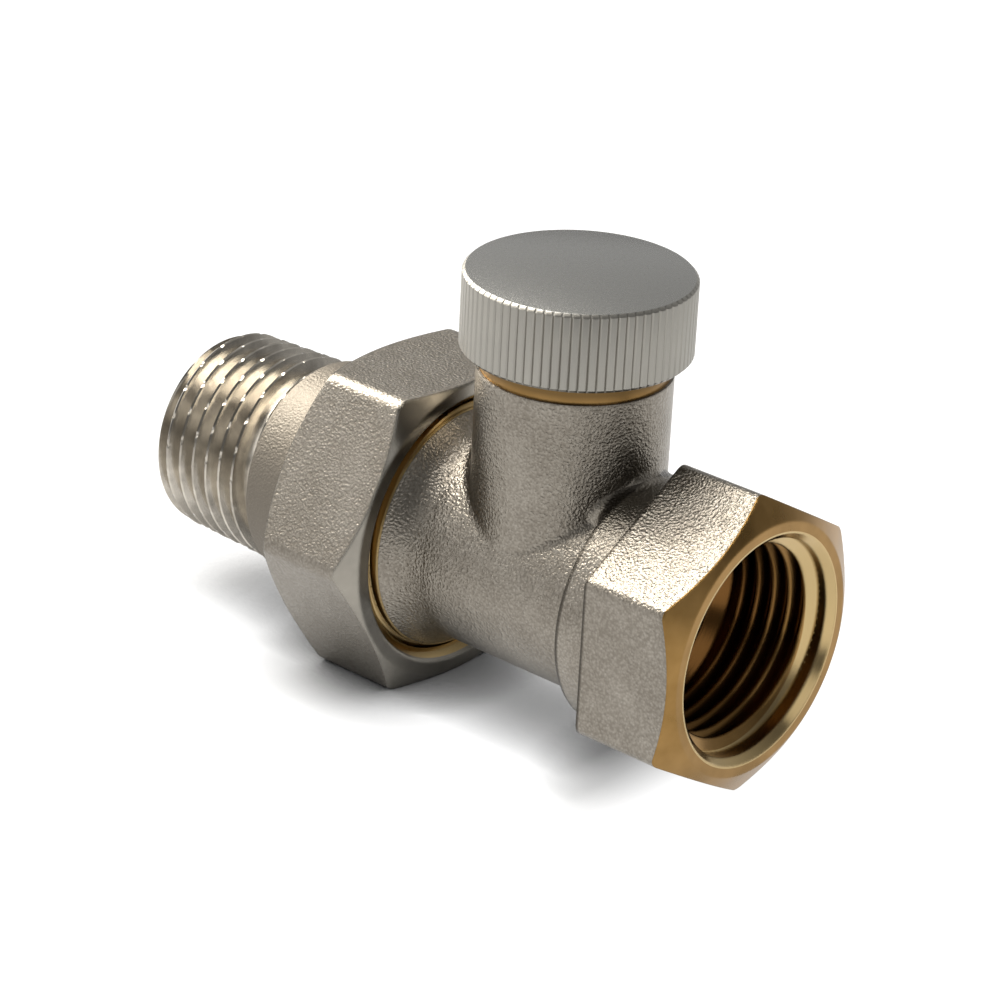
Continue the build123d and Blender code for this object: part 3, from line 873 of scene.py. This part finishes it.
def floor_finish():
    """White to the camera and to reflections, dark where the valve is close."""
    material, plan = new_finish("white floor")
    ray = plan.node("ShaderNodeLightPath")
    seen = ray.out("Is Camera Ray").most(ray.out("Is Glossy Ray")).most(ray.out("Is Transmission Ray"))
    open_sky = plan.node(
        "ShaderNodeAmbientOcclusion", {"samples": 3}, {"Distance": SHADOW_REACH, "Normal": LOOK_RIGHT}, "AO",
    )
    # painted light: from x = -15 mm towards the port the floor is made white, whatever shadow falls there
    painted_light_by_port = over(object_place(plan)[1], -15 * MM, 120.0)
    shade = ((open_sky - 0.5) * 2.7).clamp().most(painted_light_by_port)
    matt = plan.node("ShaderNodeBsdfDiffuse", None, {"Color": (0.12, 0.12, 0.12, 1)})
    glow = plan.node("ShaderNodeEmission", None, {"Color": (1, 1, 1, 1), "Strength": seen * shade})
    both = plan.node("ShaderNodeAddShader", None, {0: matt, 1: glow})
    plan.node("ShaderNodeOutputMaterial", None, {"Surface": both})
    return material


corners = [(-1, -1), (1, -1), (1, 1), (-1, 1)]
floor_mesh = bpy.data.meshes.new("floor")
floor_mesh.from_pydata([(x * FLOOR_REACH, y * FLOOR_REACH, 0) for x, y in corners], [], [(0, 1, 2, 3)])
floor_mesh.transform(Matrix.Translation((0, 0, floor_z - 0.05 * MM)))
floor_mesh.materials.append(floor_finish())
floor = bpy.data.objects.new("floor", floor_mesh)
bpy.context.scene.collection.objects.link(floor)
print("floor at", round(floor_z / MM, 2), "mm")

# %% [markdown]
# ### Lamps and room
# 
# The bright streaks on the nut, the hexagon and the cheek of the neck all come from the left. The key lamp
# hangs low there and a softer one stands higher, where the hexagon's upper flat mirrors it to the camera. Two
# weak lamps fill the front and the right. The room is plain grey and gets darker to the right, which shades
# that side of the neck and the face of the port.

# %% Lamps and room
MIDDLE = Vector((-0.03, 0, 0.005))


def direction(azimuth, elevation):
    """The way from the valve to something at these angles, with azimuth 0 in front of it."""
    return Vector((
        math.sin(azimuth) * math.cos(elevation), -math.cos(azimuth) * math.cos(elevation), math.sin(elevation),
    ))


def soft_lamp(name, azimuth, elevation, distance, width, height, watts, colour):
    """A soft box that faces the valve, with its angles in degrees."""
    data = bpy.data.lights.new(name, "AREA")
    data.shape = "RECTANGLE"
    data.size = width
    data.size_y = height
    data.energy = watts
    data.color = colour
    lamp = bpy.data.objects.new(name, data)
    away = direction(math.radians(azimuth), math.radians(elevation))
    lamp.location = MIDDLE + away * distance
    lamp.rotation_euler = (-away).to_track_quat("-Z", "Y").to_euler()
    bpy.context.scene.collection.objects.link(lamp)


LAMPS = [
    ("key", -89, 38, 0.6, 0.26, 0.6, 5.4, (1, 0.96, 0.88)),
    ("high left", -86, 60, 0.55, 0.42, 0.36, 3.5, (1, 0.97, 0.92)),
    ("front left", -37, 25, 0.8, 0.45, 0.4, 0.65, (1, 0.99, 0.97)),
    ("right", 80, 25, 0.6, 0.3, 0.3, 0.25, (1, 1, 1)),
]
for lamp in LAMPS:
    soft_lamp(*lamp)

TO_DARK = Vector((0.9, -0.25, 0.28)).normalized()
ROOM_LIGHT, ROOM_LOSS = 0.50, 0.36
world = bpy.data.worlds.new("room")
bpy.context.scene.world = world
world.use_nodes = True
world.node_tree.nodes.clear()
room = Plan(world.node_tree)
parts = room.node("ShaderNodeSeparateXYZ", None, {0: room.node("ShaderNodeTexCoord", output="Generated")})
facing = parts.out("X") * TO_DARK.x + parts.out("Y") * TO_DARK.y + parts.out("Z") * TO_DARK.z
level = ROOM_LIGHT - ROOM_LOSS * ((facing - 0.1) / 0.7).clamp()
grey_room = room.node("ShaderNodeBackground", None, {"Color": (1, 1, 1, 1), "Strength": level})
room.node("ShaderNodeOutputWorld", None, {"Surface": grey_room})
print("lamps:", len(LAMPS), "and a grey room of", ROOM_LIGHT)

# %% [markdown]
# ## The camera
#
# The camera stands where the photographer's stood: in front and to the right, looking down about 25 degrees,
# with the frame turned a little. Its place, its turn and its focal length were worked out from the two
# hexagons, the cap and the thread pitch.

# %% Camera
azimuth, elevation, roll = (math.radians(degrees) for degrees in (40.064, 24.756, 2.966))
back = direction(azimuth, elevation)
level_right = Vector((math.cos(azimuth), math.sin(azimuth), 0))
level_up = back.cross(level_right)
right = level_right * math.cos(roll) + level_up * math.sin(roll)
up = level_up * math.cos(roll) - level_right * math.sin(roll)
camera_data = bpy.data.cameras.new("camera")
camera_data.sensor_width = 36
camera_data.lens = 136.66
camera_data.clip_start = 0.01
camera = bpy.data.objects.new("camera", camera_data)
camera_spot = Matrix.Translation((0.17733, -0.24835, 0.15381))
camera.matrix_world = camera_spot @ Matrix((right, up, back)).transposed().to_4x4()
bpy.context.scene.collection.objects.link(camera)
bpy.context.scene.camera = camera
bpy.context.scene.view_settings.view_transform = "Standard"
print("camera", [round(v, 4) for v in camera.location])
